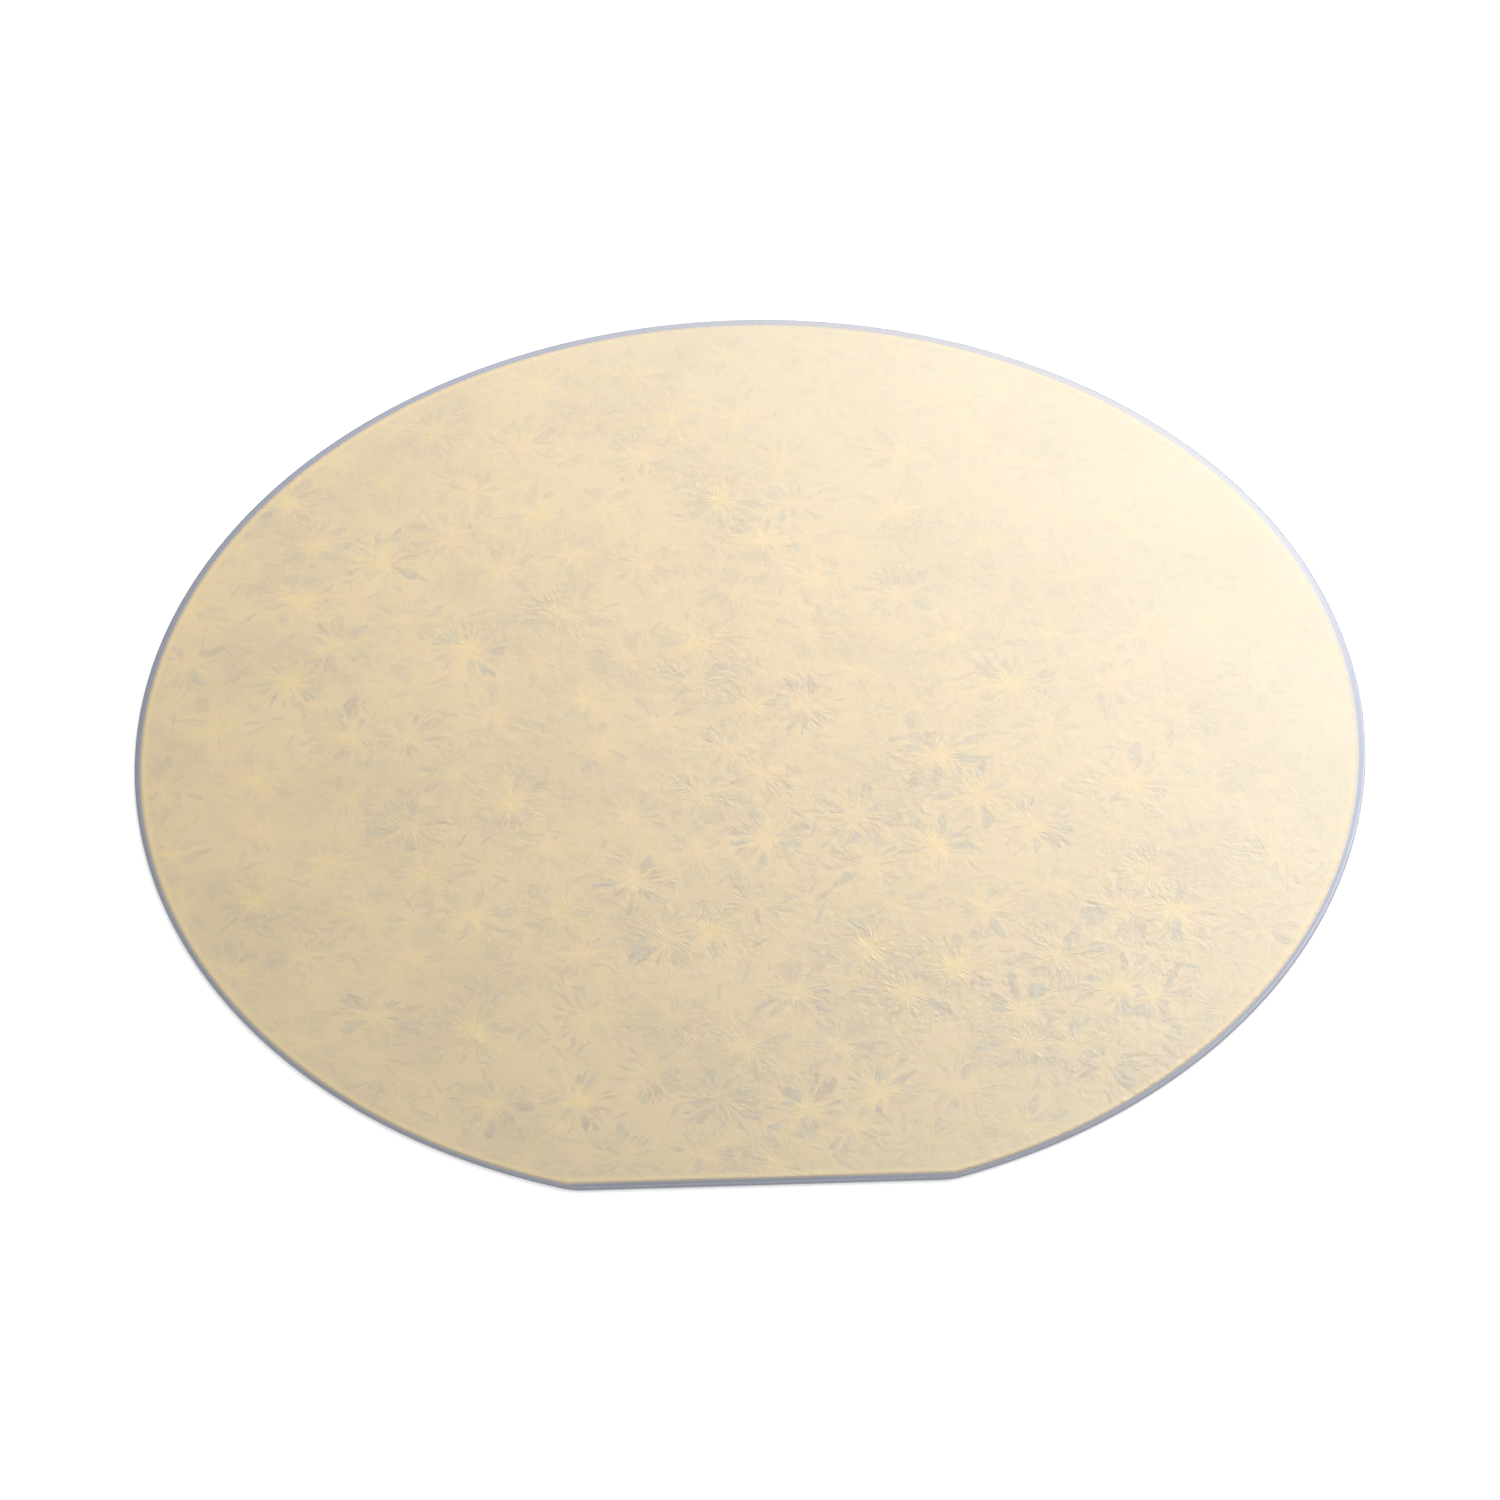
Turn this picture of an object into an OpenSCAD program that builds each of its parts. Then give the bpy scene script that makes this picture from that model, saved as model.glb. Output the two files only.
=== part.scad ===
// A round silicon wafer with one straight flat on its rim, a ground edge and a film on its front face.
// The back face lies on z = 0, the disc is centred on the Z axis and the flat faces -Y.

/* [Wafer] */
// Diameter of the disc
wafer_d = 200; // [100:1:300]
// Thickness of the silicon
wafer_t = 0.725; // [0.6:0.005:1]

/* [Flat] */
// Length of the flat, measured between the points where it would meet the rim
flat_len = 57.5; // [20:0.5:80]
// Radius that rounds off each end of the flat
corner_r = 12; // [6:0.5:20]
// Angle at which that rounding runs off the flat and the rim
run_off = 2; // [1:0.5:3]

/* [Ground edge] */
// Width of the ground edge, measured inwards from the rim
edge_w = 0.32; // [0.24:0.02:0.4]
// Angle between each bevel and the face that it leaves
bevel_angle = 22; // [12:1:26]
// Radius that blends each bevel into the upright middle of the edge
blend_r = 0.18; // [0.08:0.02:0.2]

/* [Film] */
// Thickness of the film
film_t = 0.02; // [0.01:0.01:0.1]
// Width of bare silicon that the film leaves along the rim and the flat
film_margin = 1; // [0.8:0.1:5]
// How far the film lies off centre along X
film_shift_x = -0.18; // [-0.4:0.02:0.4]
// How far the film lies off centre along Y
film_shift_y = -0.34; // [-0.4:0.02:0.4]

/* [Hidden] */
$fn = 240;

// Rim radius, and how far the flat lies from the disc's centre
rim_r = wafer_d / 2;
flat_dist = sqrt(rim_r * rim_r - flat_len * flat_len / 4);

// Depth below a face at which the edge turns upright, and where the bevel meets the blend, from its centre
upright_z = (blend_r + (edge_w - blend_r) * sin(bevel_angle)) / cos(bevel_angle);
bevel_end = blend_r * [sin(bevel_angle), cos(bevel_angle)];

// The film's own outline, parallel to the wafer's
film_r = rim_r - film_margin;
film_flat_dist = flat_dist - film_margin + film_shift_y;
film_corner_r = corner_r - film_margin;

// Half of the ground edge's section below mid-thickness: the rim at x = 0, the face at y = 0
function edge_half() = [
  [-edge_w, 0],
  [-blend_r, upright_z] + [bevel_end.x, -bevel_end.y],
  [0, upright_z]
];

// Section from the ground edge inwards by reach, with the back face on y = 0
module edge_section(reach) {
  lower = edge_half();
  upper = [for (i = [len(lower) - 1:-1:0]) [lower[i].x, wafer_t - lower[i].y]];
  polygon(concat([[-reach, 0]], lower, upper, [[-reach, wafer_t]]));
  for (y = [upright_z, wafer_t - upright_z])
    translate([-blend_r, y]) circle(blend_r, $fn = 48);
}

// Disc of radius r with the ground edge all round
module ground_disc(r) {
  rotate_extrude() translate([r, 0]) edge_section(r);
}

// Plate wider than the wafer, with the ground edge along one side, at dist from the centre towards -Y
module ground_plate(dist) {
  translate([-wafer_d, -dist, 0]) rotate([90, 0, 90]) mirror([1, 0])
    linear_extrude(2 * wafer_d) edge_section(2 * wafer_d);
}

// Centre of the arc of radius c that rounds the right-hand end of a flat, at dist from the centre
// of a disc of radius r: the arc crosses the flat and the rim at the run-off angle
function corner_centre(r, dist, c) =
  let (from_axis = sqrt(r * r + c * c - 2 * r * c * cos(run_off)), down = dist - c * cos(run_off))
  [sqrt(from_axis * from_axis - down * down), -down];

// Wedge with its tip at that centre, from straight down round to the line out from the disc's centre
module corner_wedge(r, dist, c) {
  tip = corner_centre(r, dist, c);
  polygon([tip, tip + [0, -2 * c], tip + 2 * c * tip / norm(tip)]);
}

// What the grinding takes off both ends of the flat
module ground_corners() {
  for (side = [0, 1]) mirror([side, 0, 0]) difference() {
    translate([0, 0, -wafer_t]) linear_extrude(3 * wafer_t) corner_wedge(rim_r, flat_dist, corner_r);
    translate(corner_centre(rim_r, flat_dist, corner_r)) ground_disc(corner_r);
  }
}

// Outline of the film about its own centre
module film_outline() {
  difference() {
    circle(film_r);
    translate([-film_r, -2 * film_r - film_flat_dist]) square(2 * film_r);
    for (side = [0, 1]) mirror([side, 0]) difference() {
      corner_wedge(film_r, film_flat_dist, film_corner_r);
      translate(corner_centre(film_r, film_flat_dist, film_corner_r)) circle(film_corner_r);
    }
  }
}

module silicon_wafer() {
  color([0.66, 0.69, 0.77]) difference() {
    intersection() {
      ground_disc(rim_r);
      ground_plate(flat_dist);
    }
    ground_corners();
  }
}

module deposited_film() {
  color([0.93, 0.86, 0.7]) translate([film_shift_x, film_shift_y, wafer_t])
    linear_extrude(film_t) film_outline();
}

silicon_wafer();
deposited_film();
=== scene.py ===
"""A round silicon wafer with a flat and a ground edge, and a film of crystals on its front."""

import math
import random
from typing import NamedTuple

import bpy
import numpy as np
from mathutils import Matrix, Vector


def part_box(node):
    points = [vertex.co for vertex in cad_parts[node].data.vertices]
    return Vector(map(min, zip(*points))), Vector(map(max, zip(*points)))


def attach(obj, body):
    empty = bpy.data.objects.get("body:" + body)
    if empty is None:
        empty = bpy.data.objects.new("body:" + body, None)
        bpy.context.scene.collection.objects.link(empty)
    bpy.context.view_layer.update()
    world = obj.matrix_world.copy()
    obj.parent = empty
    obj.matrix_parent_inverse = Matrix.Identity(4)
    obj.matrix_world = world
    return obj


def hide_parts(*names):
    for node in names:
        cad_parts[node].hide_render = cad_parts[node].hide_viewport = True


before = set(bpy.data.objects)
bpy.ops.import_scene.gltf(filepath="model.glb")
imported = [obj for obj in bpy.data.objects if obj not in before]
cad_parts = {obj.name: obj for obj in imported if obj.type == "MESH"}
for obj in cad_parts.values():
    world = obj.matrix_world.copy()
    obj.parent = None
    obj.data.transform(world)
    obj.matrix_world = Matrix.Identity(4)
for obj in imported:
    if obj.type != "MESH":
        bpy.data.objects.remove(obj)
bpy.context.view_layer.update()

bl_info = {
    "name": "Silicon wafer",
    "version": (1, 0, 0),
    "blender": (4, 5, 0),
    "location": "3D View > Sidebar > Wafer",
    "description": "Builds a crystal-coated silicon wafer and the studio round it",
    "category": "Add Mesh",
}

MM, PER_METRE = 0.001, 1000.0  # a millimetre in metres, and the millimetres in a metre

# Shapes, in metres and radians
FILM_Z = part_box("deposited_film")[0].z
FILM_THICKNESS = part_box("deposited_film")[1].z - FILM_Z
RIM_SIDES = 720  # sides of a full circle in both outlines
RUN_OFF = math.radians(2)  # angle at which a rounded corner leaves the flat and the rim
CORNER_FACETS = 8
BLEND_FACETS = 6
FACE_AREA = 0.01  # in square metres: a face of the disc is larger, each face of its edge smaller
UPRIGHT_SHARE = 0.6  # share of the film's thickness that lies under its sloping edge
TRIM_THRESHOLD, CUT_THRESHOLD, WELD = 1e-7, 1e-8, 2e-6  # distances at which points are one
AREA_ERROR = 1e-5  # share of the film's area that its cells may miss
DISC_SMOOTH, FILM_SMOOTH = math.radians(15), math.radians(5)  # sharper edges stay sharp

# Centres of the crystals that stand out, in millimetres from the wafer's centre
BOLD_CRYSTALS = [
    (-68.2, 22.4), (-7.8, 20.4), (-74, 32.9), (-55.1, -18.8), (2.2, -24.4), (-38.6, -14.3),
    (-36.6, 69.7), (-3.5, 54.5), (31.1, -53.1), (-29.9, 28.6), (61.1, -14.1), (40.8, -62.6),
    (16.4, -19.9), (66.2, -42.6), (-49.2, 46.8), (27.4, 65), (2.2, -9.6), (63.4, -34.2),
    (23.6, -58.2), (7.7, -81), (-8.8, 11.7), (47.6, -51.6), (-3.6, -3.9), (3.2, 44.5),
    (-60.6, 41.4), (9.1, 5.2), (-8.4, -14.2), (-13.9, -45), (18.4, -78.2), (62, -60.2),
    (-18.8, -32.5), (17.8, -48.5), (30.7, -6.7), (-7.3, -44), (18.6, -31.1), (83.5, -30.9),
    (-77, 57), (-46.1, 20.6), (49.1, -70.3), (58.7, -41.3), (29.1, -26.8), (11.4, 35),
]
CLEAR_CRYSTALS = [
    (65.8, 19.8), (-0.3, 74.8), (40.4, 42.1), (-55.6, 0.8), (-44.4, -63.4), (70, 1.1),
    (-52.5, 73.7), (-41.5, 5.5), (-18.2, 86.3), (-0.2, -37.9), (50.8, 20.9), (-27.4, -48),
    (-75.2, 14.2), (-19.9, 17.6), (53.6, -73.7), (0.1, 5.5), (-59.5, -59.8), (-28.2, -78.2),
    (-6, -78.8), (-2.5, -68), (9.2, 53.2), (58.5, 8.8), (26.4, 50.9), (-64.8, 1.6),
    (36.8, -16.1), (41.8, -69.3), (12.8, -68.3), (25.4, 30.6), (-44.4, -39.2), (56.8, -58.2),
    (22.7, -39.3), (6, -57.3), (73.3, -16), (14, -84.7), (43.2, 9.1), (-2.5, 91),
    (-86.8, 3.8), (-17.4, 40.1), (10.4, 22.2), (-30.9, -39.4), (-16.9, 66), (83, 10.4),
    (78, 35.9), (-35.1, -49), (45.2, -23), (-79.2, -34.9),
]
# The others stand at random in the room between: how far apart at least and how far inside the
# film's edge, in millimetres, and how many misses in a row end the search
CRYSTAL_SPACING, CRYSTAL_MARGIN = 11.0, 1.5
LAYOUT_SEED, LAYOUT_MISSES = 41, 1500
BOLD_STRENGTH, CLEAR_STRENGTH, OTHER_STRENGTHS = 1.0, 0.65, (0.05, 0.5)
CELL_NEIGHBOURS = 22  # how many of the nearest centres are tried as a crystal's neighbours
# On the film's map: the front's radius, the underside's, and where the underside's centre lies
MAP_FRONT, MAP_UNDERSIDE, MAP_CORNER = 0.495, 0.075, 0.915

# Finishes, with places and distances in millimetres
FILM_IOR = 2.6
FACE_DEPTH = (0.001, 0.004)  # how far from a face its finish begins to end, and has ended
CLOUD_SCALE, GRAIN_SCALE = 0.05, 2.2  # waves in a millimetre, on the silicon
PAINTED_GLARE = (25.0, 115.0)  # x + y at which the painted highlight on the film begins, and where it is full
STAIN = (60.0, 110.0)  # the same for the stain on the silicon
THINNED = 0.16  # how far inside its outline the film's edge seems to lie
SPINDLE_SPACING = 4.0

# Studio
WHITE = (1, 1, 1, 1)
FLOOR_COLOUR, FLOOR_GLOW = (0.88, 0.88, 0.88, 1), 0.3
FLOOR_SIZE, FLOOR_DROP = 6, 0.00001  # metres, the second from the wafer's back down to the floor
# The soft panel: where it stands seen from the wafer, its half width and height and the width of
# its soft edge as shares, and how much brighter it is than the plain white round it
PANEL_TURN, PANEL_RISE = math.radians(35.6), math.radians(39)
PANEL_WIDTH, PANEL_HEIGHT, PANEL_EDGE, PANEL_STRENGTH = 0.495, 0.241, 0.46, 3.8
PLAIN_LEVEL = 0.74  # how brightly that white lights the wafer
CAMERA_RISE, CAMERA_ROLL = math.radians(46), math.radians(-1.7)
CAMERA_DISTANCE, CAMERA_RIGHT, CAMERA_UP = 0.9772, 0.00007, -0.00319  # from the film's middle
CAMERA_LENS, SENSOR_WIDTH = 144, 36  # millimetres
CAMERA_REACH = (0.01, 20)


# Sizes and colours


def length(name, description, default):
    return bpy.props.FloatProperty(
        name=name,
        description=description,
        default=default,
        min=0,
        subtype="DISTANCE",
        unit="LENGTH",
    )


def angle(name, description, degrees):
    return bpy.props.FloatProperty(
        name=name,
        description=description,
        default=math.radians(degrees),
        subtype="ANGLE",
        unit="ROTATION",
    )


def share(name, description, default):
    return bpy.props.FloatProperty(
        name=name, description=description, default=default, min=0, max=1, subtype="FACTOR"
    )


def colour(name, description, default):
    return bpy.props.FloatVectorProperty(
        name=name, description=description, default=default, min=0, max=1, size=3, subtype="COLOR"
    )


class DiscSizes(bpy.types.PropertyGroup):
    """Sizes and colours of the silicon disc."""

    radius: length("Radius", "Radius of the disc", 0.1)
    thickness: length("Thickness", "Thickness of the silicon", FILM_Z)
    flat_distance: length("Flat", "How far the flat lies from the centre", 0.0957781)
    corner_radius: length("Corner radius", "Radius that rounds each end of the flat", 0.012)
    edge_width: length("Edge width", "Width of the ground edge", 0.00032)
    bevel: angle("Bevel", "Angle between the bevel and the face that it leaves", 22)
    blend_radius: length("Blend radius", "Radius between the bevel and the upright edge", 0.00018)
    polished: colour("Polished silicon", "What the polished face mirrors", (0.222, 0.235, 0.278))
    stained: colour("Stained silicon", "The same under a trace of film", (0.246, 0.245, 0.262))
    ground: colour("Ground silicon", "What the ground edge mirrors", (0.32, 0.335, 0.38))
    etched: colour("Etched silicon", "What the etched back mirrors", (0.25, 0.265, 0.30))
    polish: share("Polished roughness", "Roughness of the polished face", 0.07)
    grinding: share("Ground roughness", "Roughness of the ground edge", 0.54)
    etching: share("Etched roughness", "Roughness of the etched back", 0.35)


class FilmSizes(bpy.types.PropertyGroup):
    """Sizes and colours of the crystal film."""

    radius: length("Radius", "Radius of the film", 0.099)
    flat_distance: length("Flat", "How far the film's flat lies from its centre", 0.0944381)
    corner_radius: length("Corner radius", "Radius that rounds each end of the film's flat", 0.011)
    thickness: length("Thickness", "Thickness of the film", FILM_THICKNESS)
    slope: length("Edge slope", "Width over which the film's edge thins out", 0.00004)
    relief: length("Relief", "How high the crystals' rays stand", 0.000026)
    shift: bpy.props.FloatVectorProperty(
        name="Shift",
        description="How far the film's centre lies off the wafer's",
        default=(-0.00018, -0.00034),
        size=2,
        subtype="TRANSLATION",
        unit="LENGTH",
    )
    body: colour("Body", "Plain film between the crystals' leaves", (0.533, 0.365, 0.115))
    blush: colour("Blush", "Patches where the plain film is a little redder", (0.547, 0.36, 0.121))
    mist: colour("Mist", "Patches where the plain film is a little darker", (0.435, 0.295, 0.11))
    # A painted highlight: the film's colour where light washes it out towards the upper right
    painted_glare_tone: colour("Pale", "The film on the side where it fades", (0.45, 0.338, 0.135))
    ray: colour("Rays", "Cores, rays and the film's edge", (0.645, 0.432, 0.08))
    amber: colour("Amber rays", "The same in the redder patches", (0.655, 0.41, 0.092))
    blade: colour("Leaves", "Thin leaves where the silicon shows through", (0.325, 0.26, 0.125))
    shade: colour("Violet leaves", "The same in the redder patches", (0.335, 0.225, 0.08))
    rim: colour("Rim", "The thinnest film, just past its edge", (0.58, 0.4, 0.1))
    gloss: share("Roughness", "Roughness of the film's surface", 0.2)
    # Mostly a painted highlight, partly the film's own tone: lighter towards the rim away from the
    # flat
    drift_and_glare: bpy.props.FloatProperty(
        name="Drift",
        description="How much lighter the film gets from its middle to the rim away from the flat",
        default=0.08,
        min=-1,
        max=1,
    )


# Mesh work


def only(piece):
    """Selects one piece and makes it active, with nothing else selected."""
    bpy.ops.object.select_all(action="DESELECT")
    piece.select_set(True)
    bpy.context.view_layer.objects.active = piece


def edit():
    bpy.ops.object.mode_set(mode="EDIT")


def leave_edit():
    bpy.ops.object.mode_set(mode="OBJECT")


def select_faces(piece, wanted):
    """Selects the faces for which wanted(face) is true. It is called and left in edit mode."""
    leave_edit()
    mesh = piece.data
    mesh.vertices.foreach_set("select", [False] * len(mesh.vertices))
    mesh.edges.foreach_set("select", [False] * len(mesh.edges))
    mesh.polygons.foreach_set("select", [bool(wanted(face)) for face in mesh.polygons])
    edit()
    bpy.ops.mesh.select_mode(type="FACE")


def outline(name, radius, flat_distance, corner_radius, centre, z):
    """A flat round plate with a flat towards -Y whose ends are rounded, as one face at height z."""
    bpy.ops.object.select_all(action="DESELECT")
    bpy.ops.mesh.primitive_circle_add(
        vertices=RIM_SIDES, radius=radius, fill_type="NGON", location=(centre[0], centre[1], z)
    )
    plate = bpy.context.object
    plate.name = plate.data.name = name
    bpy.ops.object.transform_apply(location=True, rotation=True, scale=True)
    edit()

    def trim(point, normal):
        bpy.ops.mesh.select_all(action="SELECT")
        bpy.ops.mesh.bisect(
            plane_co=(centre[0] + point[0], centre[1] + point[1], z),
            plane_no=(normal[0], normal[1], 0),
            clear_outer=True,
            threshold=TRIM_THRESHOLD,
        )

    trim((0, -flat_distance), (0, -1))
    # The arc of each corner crosses the flat and the rim at the run-off angle
    down = flat_distance - corner_radius * math.cos(RUN_OFF)
    from_axis = math.sqrt(
        radius**2 + corner_radius**2 - 2 * radius * corner_radius * math.cos(RUN_OFF)
    )
    arc_x = math.sqrt(from_axis**2 - down**2)
    at_rim = math.acos(
        (from_axis**2 + corner_radius**2 - radius**2) / (2 * from_axis * corner_radius)
    )
    first = -math.pi / 2 + RUN_OFF
    last = math.atan2(-down, arc_x) - (math.pi - at_rim)
    for side in (-1, 1):
        for step in range(CORNER_FACETS):
            turn = first + (last - first) * (step + 0.5) / CORNER_FACETS
            normal = (side * math.cos(turn), math.sin(turn))
            touch_x = side * arc_x + corner_radius * normal[0]
            trim((touch_x, -down + corner_radius * normal[1]), normal)
    leave_edit()
    return plate


def finish_piece(piece, node, material, smooth_angle):
    only(piece)
    bpy.ops.object.shade_smooth_by_angle(angle=smooth_angle)
    piece.data.materials.clear()
    piece.data.materials.append(material)
    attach(piece, "root")
    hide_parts(node)


# Materials


class Number:
    """One output of a shader node. Python's operators on it add Math nodes."""

    def __init__(self, recipe, socket):
        self.recipe, self.socket = recipe, socket

    def also(self, output):
        """Another output of the same node."""
        return Number(self.recipe, self.recipe.find(self.socket.node.outputs, output))

    def math(self, operation, *others, first=None):
        values = (self, *others) if first is None else (first, self)
        sockets = dict(enumerate(values))
        return self.recipe.node("ShaderNodeMath", "Value", {"operation": operation}, sockets)

    def __add__(self, other):
        return self.math("ADD", other)

    def __sub__(self, other):
        return self.math("SUBTRACT", other)

    def __mul__(self, other):
        return self.math("MULTIPLY", other)

    def __truediv__(self, other):
        return self.math("DIVIDE", other)

    def __pow__(self, other):
        return self.math("POWER", other)

    def __rsub__(self, other):
        return self.math("SUBTRACT", first=other)

    def __abs__(self):
        return self.math("ABSOLUTE")

    __radd__ = __add__
    __rmul__ = __mul__


class Recipe:
    """The nodes of a material or a world, put together one by one."""

    def __init__(self, owner):
        self.owner = owner
        owner.use_nodes = True
        self.tree = owner.node_tree
        self.tree.nodes.clear()

    def node(self, kind, output=None, settings={}, sockets={}):
        """Adds a node: its settings are set first, then its sockets get their values or links."""
        made = self.tree.nodes.new(kind)
        for name, value in settings.items():
            setattr(made, name, value)
        for name, value in sockets.items():
            socket = self.find(made.inputs, name)
            if isinstance(value, Number):
                self.tree.links.new(value.socket, socket)
            else:
                socket.default_value = value
        return Number(self, self.find(made.outputs, output)) if output else None

    @staticmethod
    def find(sockets, name):
        if isinstance(name, int):
            return sockets[name]
        return next(s for s in sockets if s.enabled and s.name == name)

    def attribute(self, name, output):
        return self.node("ShaderNodeAttribute", output, {"attribute_name": name})

    def millimetres(self):
        place = self.node("ShaderNodeTexCoord", "Object")
        return self.vector("SCALE", place, Scale=PER_METRE)

    def vector(self, operation, *values, output="Vector", **named):
        sockets = {**dict(enumerate(values)), **named}
        return self.node("ShaderNodeVectorMath", output, {"operation": operation}, sockets)

    def parts(self, vector):
        x = self.node("ShaderNodeSeparateXYZ", "X", {}, {"Vector": vector})
        return x, x.also("Y"), x.also("Z")

    def joined(self, x, y, z):
        return self.node("ShaderNodeCombineXYZ", "Vector", {}, {"X": x, "Y": y, "Z": z})

    def noise(self, vector, scale=1.0, detail=0.0, roughness=0.5, flat=True, output="Fac"):
        """Smooth noise whose middle is 0."""
        settings = {"noise_dimensions": "2D" if flat else "3D"}
        sockets = {"Vector": vector, "Scale": scale, "Detail": detail, "Roughness": roughness}
        made = self.node("ShaderNodeTexNoise", output, settings, sockets)
        return made - 0.5 if output == "Fac" else made

    def noises(self, vector, scale, detail=0.0):
        """Three smooth noises that are strangers to each other, as a vector and one by one."""
        made = self.noise(vector, scale, detail, output="Color")
        three = self.vector("SUBTRACT", made, (0.5, 0.5, 0.5))
        return three, self.parts(three)

    def chances(self, vector):
        """Three random numbers from 0 to 1 that change as soon as the vector does."""
        settings = {"noise_dimensions": "3D"}
        made = self.node("ShaderNodeTexWhiteNoise", "Color", settings, {"Vector": vector})
        return self.parts(made)

    def ramp(self, value, low, high, to_low=0.0, to_high=1.0):
        """Goes smoothly from to_low to to_high as value goes from low to high."""
        settings = {"interpolation_type": "SMOOTHSTEP"}
        sockets = {"From Min": low, "From Max": high, "To Min": to_low, "To Max": to_high}
        return self.node("ShaderNodeMapRange", "Result", settings, {"Value": value, **sockets})

    def blend(self, factor, first, second):
        return self.node(
            "ShaderNodeMix",
            "Result",
            {"data_type": "RGBA", "clamp_factor": True},
            {"Factor": factor, "A": first, "B": second},
        )

    def finish(self, kind, output, shader_sockets):
        """Adds the shader and the output node, and returns the material or the world."""
        shader = self.node(kind, output, {}, shader_sockets)
        ends = {"BSDF": "ShaderNodeOutputMaterial", "Background": "ShaderNodeOutputWorld"}
        self.node(ends[output], None, {}, {"Surface": shader})
        return self.owner


def rgba(colour):
    return (*colour, 1.0)


def tinted(made, colour, spread, level):
    """A colour, darker by a share where level is 0 and lighter by the same share where it is 1."""
    darker = rgba([part * (1 - spread) for part in colour])
    lighter = rgba([part * (1 + spread) for part in colour])
    return made.blend(level, darker, lighter)


def slanted(x, y, by_x, by_y, by_both):
    """A number that changes evenly from one side of the wafer to the other."""
    return x * by_x + y * by_y + x * y * by_both


def painted_glare_side(made, x, y):
    """How near a place is to the side of the rim that lies away from the flat, to the right, where
    a highlight is painted into the film.
    """
    return made.ramp(x + y, *PAINTED_GLARE)


def bare_face(made, mm, disc):
    """What the polished silicon mirrors, clouded, lighter towards the left as a painted reflection,
    and on one side stained by a trace of film.
    """
    x, y, _ = made.parts(mm)
    cloud = made.noise(mm, CLOUD_SCALE, 3.0, flat=False)
    # Painted reflection: lighter towards the left and darker towards the right, over random
    # clouding
    polished = tinted(made, disc.polished, 0.14, made.ramp(cloud * 0.5 - x * 0.005, -0.5, 0.5))
    return made.blend(made.ramp(x * 0.7 + y, *STAIN), polished, rgba(disc.stained))


def film_edge(made, x, y, film):
    """How far a place lies inside the film's outline and inside its thinned edge, and how much
    the film covers it."""
    right, ahead = x - film.shift[0] * PER_METRE, y - film.shift[1] * PER_METRE
    from_rim = film.radius * PER_METRE - (right**2.0 + ahead**2.0).math("SQRT")
    from_edge = from_rim.math("MINIMUM", ahead + film.flat_distance * PER_METRE)
    # The film thins out before its outline, more on some sides than on others
    thinned = from_edge - THINNED - slanted(x, y, -0.0006, 0.0011, -0.00002)
    # Its edge blurs wider towards the upper right, where the highlight is painted
    return from_edge, thinned, made.ramp(thinned, -0.5, painted_glare_side(made, x, y) * 0.6 + 0.55)


def film_tone(made, x, y, film, plain):
    """The film's colour between the crystals, paler towards the upper right: a painted highlight.
    """
    return made.blend(painted_glare_side(made, x, y) * 0.8, plain, rgba(film.painted_glare_tone))


def silicon_material(sizes, film):
    """Polished on the front, ground round the edge and etched on the back."""
    made = Recipe(bpy.data.materials.new("Silicon"))
    mm = made.millimetres()
    x, y, height = made.parts(mm)
    top = sizes.thickness * PER_METRE
    near, far = FACE_DEPTH
    front = made.ramp(height, top - far, top - near)
    back = made.ramp(height, near, far, 1.0, 0.0)
    cloud = made.noise(mm, CLOUD_SCALE, 3.0, flat=False)
    grain = made.noise(mm, GRAIN_SCALE, 3.0, 0.6, flat=False)

    # Painted light and shade on the ground edge, over its random grain: darker towards the left,
    # lighter towards the right
    painted_edge_light = slanted(x, y, 0.006, 0.0018, 0.00003)
    ground = tinted(made, sizes.ground, 0.24, made.ramp(grain * 0.9 + painted_edge_light, -1.0, 1.0))
    etched = tinted(made, sizes.etched, 0.07, made.ramp(cloud + grain * 0.4, -0.2, 0.2))
    tint = made.blend(front, ground, bare_face(made, mm, sizes))
    tint = made.blend(back, tint, etched)
    rough = sizes.grinding + grain * 0.12
    rough = rough - front * (sizes.grinding - sizes.polish + grain * 0.11)
    rough = rough - back * (sizes.grinding - sizes.etching - grain * 0.1)
    # A breath of film reaches past the film's edge
    _, _, cover = film_edge(made, x, y, film)
    trace = cover * front
    breath = film_tone(made, x, y, film, rgba(film.rim))
    return made.finish(
        "ShaderNodeBsdfPrincipled",
        "BSDF",
        {
            "Base Color": made.blend(trace, tint, breath),
            "Metallic": 1.0 - trace,
            "Roughness": rough + trace * (film.gloss - sizes.polish),
            "IOR": FILM_IOR,
        },
    )


class LeafKind(NamedTuple):
    """One kind of the leaves that a crystal has, with lengths in millimetres."""

    sectors: int  # sectors round the crystal's centre, each with room for one leaf
    seed: float
    often: float  # share of the sectors that have a leaf
    begins: float  # how much farther out than the nearest leaf the farthest one begins
    longest: float
    widest: float
    soft: float  # width over which the outline fades
    shows: float  # how clearly the silicon shows through


LEAF_KINDS = (
    LeafKind(9, 0.61, 0.85, 2.4, 8.5, 1.2, 0.42, 0.85),
    LeafKind(14, 0.83, 0.95, 3.6, 6.5, 0.88, 0.36, 0.75),
    LeafKind(27, 0.37, 0.95, 4.6, 5.4, 0.5, 0.31, 0.7),
)
LEAF_START = 0.5  # how far from a crystal's centre its nearest leaves begin, in millimetres


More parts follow.
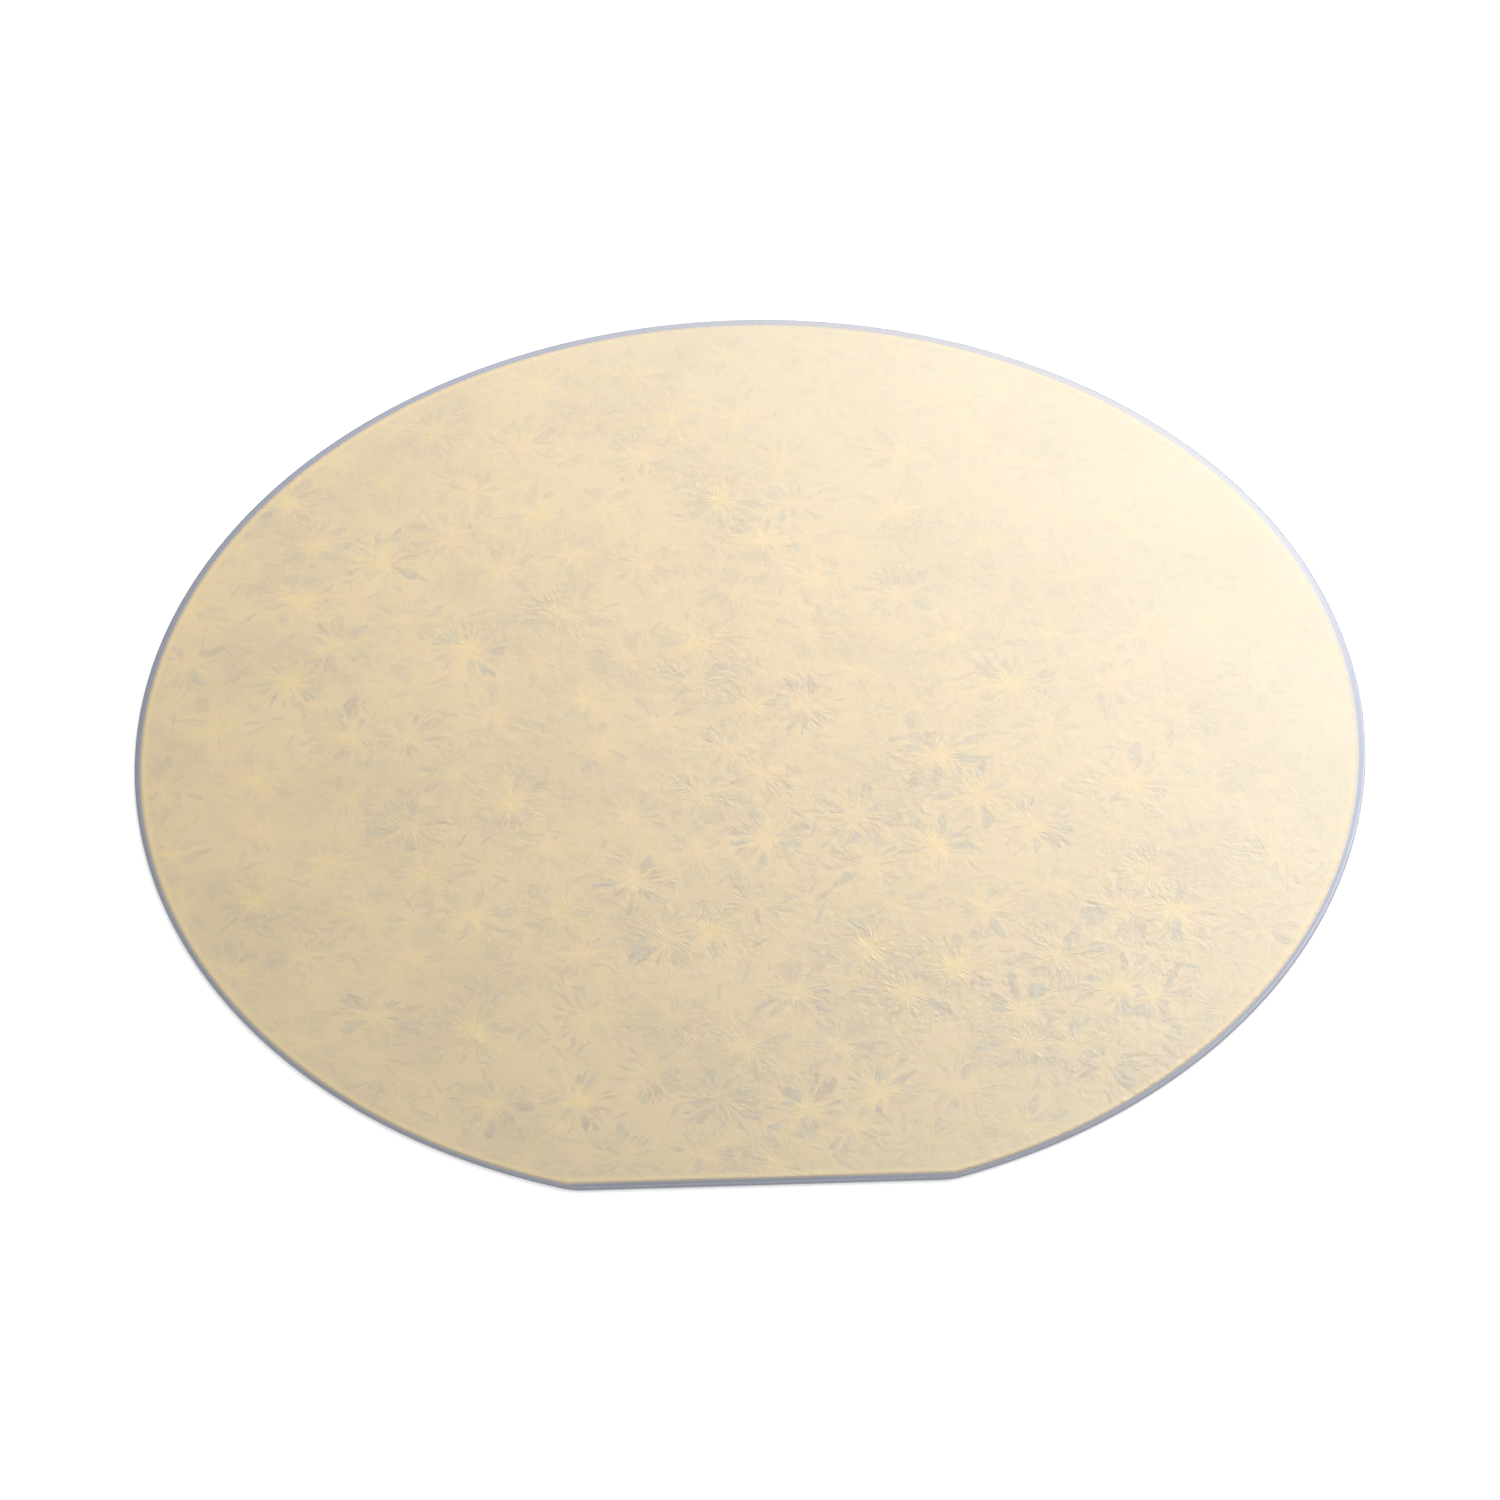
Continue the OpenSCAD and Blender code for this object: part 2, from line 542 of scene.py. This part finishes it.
class Crystal:
    """The crystal that grew over a place on the film, and the marks that it leaves there."""

    def __init__(self, made, flat, bend, wander):
        self.made = made
        self.core = made.attribute("crystal_core", "Vector")
        self.strength = made.attribute("crystal_strength", "Fac")
        self.chances = made.chances(self.core)
        wandered = made.vector("MULTIPLY_ADD", wander, (0.5, 0.5, 0.0), flat)
        offset = made.vector("SUBTRACT", wandered, self.core)
        right, ahead, _ = made.parts(offset)
        self.distance = made.vector("LENGTH", offset, output="Value")
        self.turn = ahead.math("ARCTAN2", right) + bend * 0.35
        self.round_x, self.round_y = self.turn.math("COSINE"), self.turn.math("SINE")
        self.fibre = self.radial(7.0, 0.7, 90.0, 1.0, 0.6)
        self.arms = self.radial(1.7, 0.2, 57.0, 0.0, 0.5)

    def radial(self, turns, stretch, seed, detail, roughness):
        """Noise that is drawn out along the rays, with more of them the higher turns is."""
        outwards = self.distance * stretch + self.chances[2] * seed
        place = self.made.joined(self.round_x * turns, self.round_y * turns, outwards)
        return self.made.noise(place, 1.0, detail, roughness, flat=False)

    def sectors(self, count, seed):
        """Splits the crystal into sectors: how far off a sector's middle line a place lies, as a
        share of the sector, and the sector's random numbers."""
        place = (self.turn / math.tau + self.chances[0] * seed).math("FRACT") * count
        number = place.math("FLOOR")
        key = self.made.vector("ADD", self.core, self.made.joined(number, seed, 0.0))
        return abs(place - number - 0.5), self.made.chances(key)

    def leaves(self, kind):
        """Slim leaves that point away from the crystal's centre, in some of its sectors."""
        off, (picked, begins, lasts) = self.sectors(kind.sectors, kind.seed)
        length = (self.strength * 0.45 + 0.6) * (lasts * kind.longest * 0.7 + kind.longest * 0.3)
        along = (self.distance - begins * kind.begins - LEAF_START) / length
        bulge = (along * (1.0 - along) * 4.0).math("MAXIMUM", 0.0) ** 0.7
        breadth = bulge * (lasts * kind.widest * 0.5 + kind.widest * 0.5)
        aside = off * self.distance * (math.tau / kind.sectors)
        shape = self.made.ramp(breadth - aside + self.fibre * 0.3, 0.0, kind.soft)
        return shape * self.made.ramp(picked, kind.often, kind.often * 0.3)

    def wedges(self, swell):
        """Broad wedges without rays, in a few sectors near the centre."""
        ramp = self.made.ramp
        off, (picked, begins, lasts) = self.sectors(6, 1.0)
        wedge = ramp(off + swell * 0.4, 0.42, 0.3) * ramp(picked, 0.09, 0.04)
        wedge = wedge * ramp(self.distance - begins * 0.8, 0.3, 0.8)
        return wedge * ramp(self.distance - lasts * 4.5 + swell * 5.0, 2.0, 2.8, 1.0, 0.0)


def spindles(made, flat, bend):
    """Loose spindles that belong to no crystal."""
    spot = made.node(
        "ShaderNodeTexVoronoi",
        "Position",
        {"voronoi_dimensions": "2D"},
        {"Vector": made.vector("SCALE", flat, Scale=1 / SPINDLE_SPACING), "Scale": 1.0},
    )
    chances = spot.also("Color")
    heading = made.vector("MULTIPLY_ADD", chances, (2, 2, 0), (-1, -1, 0))
    heading = made.vector("NORMALIZE", heading)
    beside = made.vector("CROSS_PRODUCT", heading, (0, 0, 1))
    away = made.vector("SUBTRACT", flat, made.vector("SCALE", spot, Scale=SPINDLE_SPACING))
    forward = made.vector("DOT_PRODUCT", away, heading, output="Value")
    sideways = made.vector("DOT_PRODUCT", away, beside, output="Value")
    size = made.parts(chances)[2] ** 2.0
    breadth = (1.0 - (forward / (size * 2.6 + 0.5)) ** 2.0) * (size * 0.45 + 0.12)
    return made.ramp(breadth - abs(sideways + forward * bend), 0.0, 0.16)


def film_material(sizes, disc):
    """Crystals that grew outwards, each with a warm core, pale rays and grey leaves."""
    made = Recipe(bpy.data.materials.new("Crystal film"))
    mm = made.millimetres()
    x, y, _ = made.parts(mm)
    flat = made.joined(x, y, 0.0)
    _, (bend, patch, pink) = made.noises(flat, 0.2, 1.0)
    wander, (_, _, swell) = made.noises(flat, 0.5, 1.0)
    cloud = made.noise(flat, 0.045, 2.0)
    speck = made.noise(flat, 1.3, 2.0, 0.7)
    crystal = Crystal(made, flat, bend, wander)
    r, own, fibre, arms = crystal.distance, crystal.chances, crystal.fibre, crystal.arms

    # How bold the crystals are; they fall off towards the upper right, a painted highlight that
    # washes them out
    painted_glare = painted_glare_side(made, x, y)
    bite = (crystal.strength * 0.5 + 0.46) * made.ramp(x + y * 0.7, 20.0, 100.0, 1.0, 0.5)
    depth = bite * (1.0 + (x - y) * 0.0015)
    rough_patch = made.ramp(patch + cloud, -0.12, 0.12, 0.55, 1.05)

    # Where the silicon shows through
    bold, middle, slim = (crystal.leaves(kind) * kind.shows for kind in LEAF_KINDS)
    cut = bold.math("MAXIMUM", middle).math("MAXIMUM", slim)
    cut = cut * made.ramp(arms, -0.15, 0.1, 0.45, 1.25)
    cut = cut * made.ramp(fibre, -0.15, 0.08, 0.4, 1.0) * (own[0] * 0.8 + 0.6)
    loose = (crystal.wedges(swell) * 0.6).math("MAXIMUM", spindles(made, flat, bend) * 0.6)
    dark = loose.math("MAXIMUM", cut) * depth
    # Where the plain film is a little darker
    mist = made.ramp(patch, -0.05, 0.2) * 0.45 + made.ramp(cloud, -0.06, 0.15) * 0.5
    mist = mist * (bite * 0.7 + 0.3)
    # Cores, and rays that fade outwards
    streaks = made.ramp(fibre - arms * 0.8, -0.06, 0.24)
    glow, reach = ((r * r * -fall).math("EXPONENT") * 0.6 for fall in (0.16, 0.028))
    warm = (glow + streaks * reach) * bite * (own[1] * 0.8 + 0.36)
    blush = made.ramp(pink, -0.15, 0.15)
    relief = (fibre * 0.88 + speck * 0.35) * rough_patch
    relief = relief * made.ramp(r, 0.2, 1.8, 0.15, 1.0) + swell * 0.5

    # A bright ring runs along the film's edge, fainter under the painted highlight, and the
    # crystals begin inside it
    from_edge, thinned, veil = film_edge(made, x, y, sizes)
    ring = made.ramp(thinned + speck * 0.8, 0.3, 1.5, 0.45, 0.0) * (1.0 - painted_glare)
    inside = made.ramp(from_edge, 0.4, 1.6)

    tone = made.blend(blush, rgba(sizes.body), rgba(sizes.blush))
    tone = film_tone(made, x, y, sizes, tone)
    tone = made.blend(mist * inside, tone, rgba(sizes.mist))
    blade = made.blend(blush, rgba(sizes.blade), rgba(sizes.shade))
    tone = made.blend(dark * inside, tone, blade)
    ray = made.blend(blush, rgba(sizes.ray), rgba(sizes.amber))
    tone = made.blend(warm * inside, tone, ray)
    tone = made.blend(ring, tone, rgba(sizes.ray))
    level = 1.0 + (fibre * 0.05 + speck * 0.1) * rough_patch - cloud * 0.1
    # Lighter towards the upper right: mostly a painted highlight, partly the film's own tone
    level = level + y * (sizes.drift_and_glare / (sizes.radius * PER_METRE)) + x * 0.0003
    # Redder away from the flat and less so outwards, where it gets bluer
    outwards = (x * x + y * y) * 0.0001
    red = level * (1.0 - outwards * 0.034 + y * 0.0003)
    green = level * (1.0 - pink * painted_glare * 0.04)
    bluer = outwards * 0.13 - y * 0.0012 + speck * 0.2 + pink * 0.15 - cloud * 0.2
    blue = level * (0.93 + bluer)
    tone = made.vector("MULTIPLY", tone, made.joined(red, green, blue))
    bumps = made.node(
        "ShaderNodeBump",
        "Normal",
        {},
        {"Strength": 1.0, "Distance": sizes.relief, "Height": relief * depth},
    )
    return made.finish(
        "ShaderNodeBsdfPrincipled",
        "BSDF",
        {
            "Base Color": made.blend(veil, bare_face(made, mm, disc), tone),
            "Metallic": 1.0 - veil,
            "Roughness": disc.polish + veil * (sizes.gloss - disc.polish),
            "IOR": FILM_IOR,
            "Normal": bumps,
        },
    )


# The crystals' layout


def crystal_layout(sizes):
    """Centre, in millimetres, and strength of every crystal, the ones that stand out first."""
    placed = [(x, y, BOLD_STRENGTH) for x, y in BOLD_CRYSTALS]
    placed += [(x, y, CLEAR_STRENGTH) for x, y in CLEAR_CRYSTALS]
    draw = random.Random(LAYOUT_SEED)
    radius, low = sizes.radius * PER_METRE, -sizes.flat_distance * PER_METRE
    misses = 0
    while misses < LAYOUT_MISSES:
        x, y = draw.uniform(-radius, radius), draw.uniform(low, radius)
        inside = math.hypot(x, y) < radius - CRYSTAL_MARGIN and y > low + CRYSTAL_MARGIN
        if inside and min(math.hypot(x - a, y - b) for a, b, _ in placed) > CRYSTAL_SPACING:
            placed.append((x, y, draw.uniform(*OTHER_STRENGTHS)))
            misses = 0
        else:
            misses += 1
    return np.array(placed)


def cut_cells(plate, layout):
    """Cuts the plate into one cell for each crystal, along the lines half-way to its neighbours."""
    centres = layout[:, :2] * MM
    z = plate.data.vertices[0].co.z
    cells = []
    for centre in centres:
        cell = plate.copy()
        cell.data = plate.data.copy()
        bpy.context.collection.objects.link(cell)
        gaps = np.hypot(*(centres - centre).T)
        only(cell)
        edit()
        for i in np.argsort(gaps)[1 : CELL_NEIGHBOURS + 1]:
            middle, across = (centre + centres[i]) / 2, (centres[i] - centre) / gaps[i]
            bpy.ops.mesh.select_all(action="SELECT")
            bpy.ops.mesh.bisect(
                plane_co=(*middle, z),
                plane_no=(*across, 0),
                clear_outer=True,
                threshold=CUT_THRESHOLD,
            )
        leave_edit()
        cells.append(cell)
    bpy.data.objects.remove(plate)
    return cells


def mark_crystals(film, layout):
    """Writes on each face where its crystal's centre lies and how strong the crystal is."""
    mesh = film.data
    centres = layout[:, :2] * MM
    middles = np.zeros(len(mesh.polygons) * 3)
    mesh.polygons.foreach_get("center", middles)
    middles = middles.reshape(-1, 3)[:, :2]
    own = np.argmin(((middles[:, None] - centres[None]) ** 2).sum(2), axis=1)
    core = mesh.attributes.new("crystal_core", "FLOAT_VECTOR", "FACE")
    values = np.column_stack([layout[own, :2], np.zeros(len(own))])
    core.data.foreach_set("vector", values.astype(np.float32).ravel())
    strength = mesh.attributes.new("crystal_strength", "FLOAT", "FACE")
    strength.data.foreach_set("value", layout[own, 2].astype(np.float32))


def lay_out(film, sizes):
    """Gives the film a map: its front fills the square, its hidden underside lies in a corner."""
    mesh = film.data
    corners = np.zeros(len(mesh.loops), dtype=np.int32)
    mesh.loops.foreach_get("vertex_index", corners)
    points = np.zeros(len(mesh.vertices) * 3)
    mesh.vertices.foreach_get("co", points)
    upwards = np.zeros(len(mesh.polygons) * 3)
    mesh.polygons.foreach_get("normal", upwards)
    sides = np.zeros(len(mesh.polygons), dtype=np.int32)
    mesh.polygons.foreach_get("loop_total", sides)
    under = np.repeat(upwards[2::3] < -0.9, sides)
    across = (points.reshape(-1, 3)[corners, :2] - sizes.shift[:]) / sizes.radius
    in_corner, in_middle = MAP_CORNER + across * MAP_UNDERSIDE, 0.5 + across * MAP_FRONT
    places = np.where(under[:, None], in_corner, in_middle)
    layer = mesh.uv_layers.new(name="OFBake")
    layer.data.foreach_set("uv", places.astype(np.float32).ravel())


# Operators


class WAFER_OT_silicon_disc(bpy.types.Operator):
    """Build the silicon disc with its flat and its ground edge"""

    bl_idname = "wafer.silicon_disc"
    bl_label = "Silicon disc"

    def execute(self, context):
        sizes, film = context.scene.wafer_disc, context.scene.wafer_film
        blend, bevel = sizes.blend_radius, sizes.bevel
        upright = (blend + (sizes.edge_width - blend) * math.sin(bevel)) / math.cos(bevel)
        disc = outline(
            "wafer", sizes.radius, sizes.flat_distance, sizes.corner_radius, (0, 0), upright
        )
        edit()
        bpy.ops.mesh.select_all(action="SELECT")
        bpy.ops.mesh.extrude_region_move(
            TRANSFORM_OT_translate={"value": (0, 0, sizes.thickness - 2 * upright)}
        )
        # From its upright middle the edge is ground towards each face: the blend, then the bevel
        turns = [(math.pi / 2 - bevel) * i / BLEND_FACETS for i in range(BLEND_FACETS + 1)]
        profile = [(blend * (1 - math.cos(t)), blend * math.sin(t)) for t in turns]
        profile.append((sizes.edge_width, upright))
        for up in (1, -1):
            select_faces(disc, lambda face: face.normal.z * up > 0.9 and face.area > FACE_AREA)
            for (x0, z0), (x1, z1) in zip(profile, profile[1:]):
                bpy.ops.mesh.inset(thickness=x1 - x0, depth=z1 - z0, use_even_offset=True)
        leave_edit()
        material = silicon_material(sizes, film)
        finish_piece(disc, "silicon_wafer", material, DISC_SMOOTH)
        return {"FINISHED"}


class WAFER_OT_crystal_film(bpy.types.Operator):
    """Build the film with one patch of its front for each crystal"""

    bl_idname = "wafer.crystal_film"
    bl_label = "Crystal film"

    def execute(self, context):
        sizes, disc = context.scene.wafer_film, context.scene.wafer_disc
        layout = crystal_layout(sizes)
        plate = outline(
            "film", sizes.radius, sizes.flat_distance, sizes.corner_radius, sizes.shift, FILM_Z
        )
        area = plate.data.polygons[0].area
        cells = cut_cells(plate, layout)
        bpy.ops.object.select_all(action="DESELECT")
        for cell in cells:
            cell.select_set(True)
        bpy.context.view_layer.objects.active = cells[0]
        bpy.ops.object.join()
        film = bpy.context.object
        film.name = film.data.name = "film"
        edit()
        bpy.ops.mesh.select_all(action="SELECT")
        bpy.ops.mesh.remove_doubles(threshold=WELD)
        leave_edit()
        total = sum(face.area for face in film.data.polygons)
        if len(film.data.polygons) != len(layout) or abs(total / area - 1) > AREA_ERROR:
            raise RuntimeError(f"the crystals' cells don't cover the film: {total} of {area} m2")
        # Each cell becomes a fan of faces round its crystal's centre
        edit()
        bpy.ops.mesh.select_all(action="SELECT")
        corners = len(film.data.vertices)
        bpy.ops.mesh.poke(center_mode="MEDIAN")
        leave_edit()
        for i, (x, y, _) in enumerate(layout):
            film.data.vertices[corners + i].co = (x * MM, y * MM, FILM_Z)
        edit()
        bpy.ops.mesh.select_all(action="SELECT")
        upright = sizes.thickness * UPRIGHT_SHARE
        bpy.ops.mesh.extrude_region_move(TRANSFORM_OT_translate={"value": (0, 0, upright)})
        bpy.ops.mesh.inset(
            thickness=sizes.slope, depth=sizes.thickness - upright, use_even_offset=True
        )
        leave_edit()
        mark_crystals(film, layout)
        lay_out(film, sizes)
        finish_piece(film, "deposited_film", film_material(sizes, disc), FILM_SMOOTH)
        return {"FINISHED"}


class WAFER_OT_studio(bpy.types.Operator):
    """Set the floor, the soft light and the camera"""

    bl_idname = "wafer.studio"
    bl_label = "Studio"

    def execute(self, context):
        make_floor()
        make_world()
        make_camera()
        return {"FINISHED"}


def make_floor():
    bpy.ops.object.select_all(action="DESELECT")
    bpy.ops.mesh.primitive_plane_add(size=FLOOR_SIZE, location=(0, 0, -FLOOR_DROP))
    floor = bpy.context.object
    floor.name = "floor"
    made = Recipe(bpy.data.materials.new("Floor"))
    seen = made.node("ShaderNodeLightPath", "Is Camera Ray")
    made.finish(
        "ShaderNodeBsdfPrincipled",
        "BSDF",
        {
            "Base Color": FLOOR_COLOUR,
            "Roughness": 1.0,
            "Specular IOR Level": 0.0,
            "Emission Color": WHITE,
            "Emission Strength": seen.math("MAXIMUM", seen.also("Is Glossy Ray")) * FLOOR_GLOW,
        },
    )
    floor.data.materials.append(made.owner)


def make_world():
    """White all round, with a soft bright panel behind the wafer to the right."""
    scene = bpy.context.scene
    scene.world = bpy.data.worlds.new("Studio")
    made = Recipe(scene.world)
    ray = made.node("ShaderNodeLightPath", "Is Camera Ray")
    seen = ray.math("MAXIMUM", ray.also("Is Glossy Ray"))
    seen = seen.math("MAXIMUM", ray.also("Is Transmission Ray"))
    direction = made.node("ShaderNodeTexCoord", "Generated")
    ahead = Vector((math.sin(PANEL_TURN), math.cos(PANEL_TURN), 0))
    across = ahead.cross(Vector((0, 0, 1)))
    towards = ahead * math.cos(PANEL_RISE) + Vector((0, 0, math.sin(PANEL_RISE)))
    upwards = across.cross(towards)

    def share_of(axis):
        return made.vector("DOT_PRODUCT", direction, tuple(axis), output="Value")

    from_middle = (
        (share_of(across) / PANEL_WIDTH) ** 2.0 + (share_of(upwards) / PANEL_HEIGHT) ** 2.0
    ).math("SQRT")
    panel = made.ramp(from_middle, 1 - PANEL_EDGE, 1 + PANEL_EDGE, PANEL_STRENGTH, 0.0)
    panel = panel * share_of(towards).math("GREATER_THAN", 0.0)
    level = PLAIN_LEVEL + seen * (1 - PLAIN_LEVEL) + panel
    made.finish("ShaderNodeBackground", "Background", {"Color": WHITE, "Strength": level})
    scene.world.cycles.sampling_method = "NONE"


def make_camera():
    back = Vector((0, -math.cos(CAMERA_RISE), math.sin(CAMERA_RISE)))
    right = Vector((1, 0, 0))
    up = back.cross(right)
    turned_right = right * math.cos(CAMERA_ROLL) + up * math.sin(CAMERA_ROLL)
    turned_up = up * math.cos(CAMERA_ROLL) - right * math.sin(CAMERA_ROLL)
    lens = bpy.data.cameras.new("Camera")
    lens.lens, lens.sensor_width, lens.sensor_fit = CAMERA_LENS, SENSOR_WIDTH, "HORIZONTAL"
    lens.clip_start, lens.clip_end = CAMERA_REACH
    camera = bpy.data.objects.new("Camera", lens)
    bpy.context.scene.collection.objects.link(camera)
    place = back * CAMERA_DISTANCE + right * CAMERA_RIGHT + up * CAMERA_UP + Vector((0, 0, FILM_Z))
    turn = Matrix((turned_right, turned_up, back)).transposed().to_4x4()
    camera.matrix_world = Matrix.Translation(place) @ turn
    bpy.context.scene.camera = camera


class WAFER_PT_build(bpy.types.Panel):
    """Lists what the wafer is made of"""

    bl_label = "Wafer"
    bl_idname = "WAFER_PT_build"
    bl_space_type = "VIEW_3D"
    bl_region_type = "UI"
    bl_category = "Wafer"

    def draw(self, context):
        for group in (context.scene.wafer_disc, context.scene.wafer_film):
            box = self.layout.box()
            for name in group.__annotations__:
                box.prop(group, name)
        for operator in BUILD_ORDER:
            self.layout.operator(operator.bl_idname)


BUILD_ORDER = (WAFER_OT_silicon_disc, WAFER_OT_crystal_film, WAFER_OT_studio)
CLASSES = (DiscSizes, FilmSizes, *BUILD_ORDER, WAFER_PT_build)


def register():
    for cls in CLASSES:
        bpy.utils.register_class(cls)
    bpy.types.Scene.wafer_disc = bpy.props.PointerProperty(type=DiscSizes)
    bpy.types.Scene.wafer_film = bpy.props.PointerProperty(type=FilmSizes)


def unregister():
    del bpy.types.Scene.wafer_disc
    del bpy.types.Scene.wafer_film
    for cls in reversed(CLASSES):
        bpy.utils.unregister_class(cls)


def main():
    register()
    bpy.ops.wafer.silicon_disc()
    bpy.ops.wafer.crystal_film()
    bpy.ops.wafer.studio()
    bpy.context.scene.view_settings.view_transform = "Standard"


if __name__ == "__main__":
    main()
